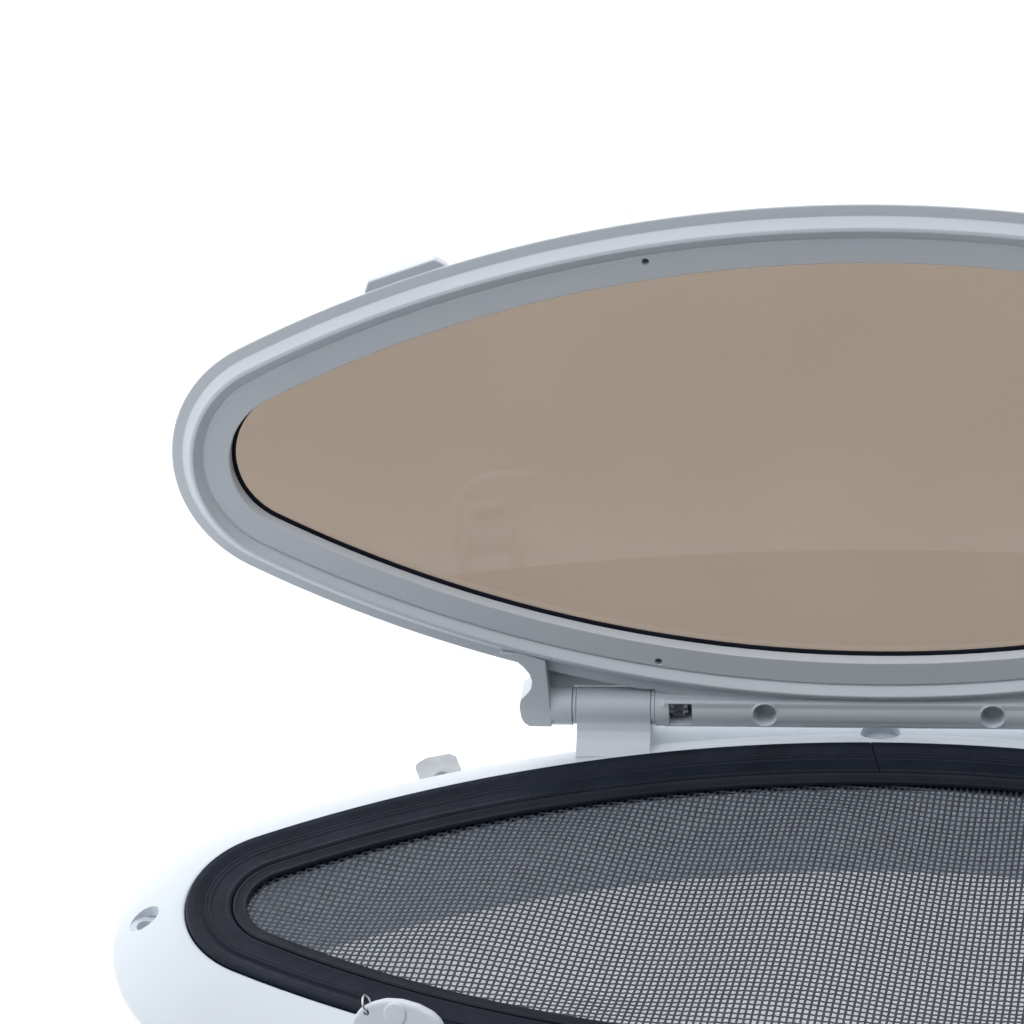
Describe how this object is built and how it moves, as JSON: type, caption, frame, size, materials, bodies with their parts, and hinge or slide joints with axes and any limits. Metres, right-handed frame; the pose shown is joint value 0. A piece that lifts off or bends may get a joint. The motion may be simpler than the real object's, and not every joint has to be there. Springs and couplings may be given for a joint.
{
  "type": "opening porthole",
  "caption": "Oval opening porthole: domed flange with a spigot, gasket and insect screen, a smoked lens in a friction-hinged lid, and flip-over dogs that clamp it shut.",
  "frame": {"origin": "centre of the oval opening, on the back plane of the flange that bears on the wall", "axes": "+X along the hinge and the long side, +Y from the opening towards the hinge, +Z out of the wall"},
  "size_m": [0.409, 0.1972, 0.1939],
  "materials": {
    "white_plastic": "satin moulded",
    "smoked_acrylic": "polished, see-through, smoked",
    "black_rubber": "matt",
    "black_plastic": "satin",
    "screen_net": "woven coated glass-fibre net",
    "stainless": "satin"
  },
  "bodies": {
    "base": {"base_frame": "white_plastic", "gasket": "black_rubber", "screen_frame": "black_plastic", "screen_spline": "black_rubber", "screen_mesh": "screen_net", "dog_pin_left": "stainless", "dog_pin_right": "stainless", "dog_clip_left": "stainless", "dog_clip_right": "stainless", "fixing_lug_left": "stainless", "fixing_lug_right": "stainless"},
    "lid": {"lid_frame": "white_plastic", "lens": "smoked_acrylic", "lens_seal": "black_rubber", "hinge_pin_left": "stainless", "hinge_pin_right": "stainless", "hinge_nut_left": "stainless", "hinge_nut_right": "stainless", "hinge_cap_left": "white_plastic", "hinge_cap_right": "white_plastic", "washer_inner_left": "white_plastic", "washer_inner_right": "white_plastic", "washer_outer_left": "white_plastic", "washer_outer_right": "white_plastic"},
    "dog_left": {"dog_lever_left": "white_plastic", "dog_pad_left": "black_rubber", "dog_ring_left": "stainless"},
    "dog_right": {"dog_lever_right": "white_plastic", "dog_pad_right": "black_rubber", "dog_ring_right": "stainless"}
  },
  "joints": [
    {"name": "lid_hinge", "type": "hinge", "parent": "base", "child": "lid", "pos_m": [0, 0.0776, 0.0223], "axis": [1, 0, 0], "range_deg": [-12, 99.4]},
    {"name": "dog_left_swing", "type": "hinge", "parent": "base", "child": "dog_left", "pos_m": [-0.12076, -0.06484, 0.0208], "axis": [-0.9438, 0.3305, 0], "range_deg": [-40, 64]},
    {"name": "dog_right_swing", "type": "hinge", "parent": "base", "child": "dog_right", "pos_m": [0.12076, -0.06484, 0.0208], "axis": [-0.9438, -0.3305, 0], "range_deg": [-40, 64]}
  ]
}
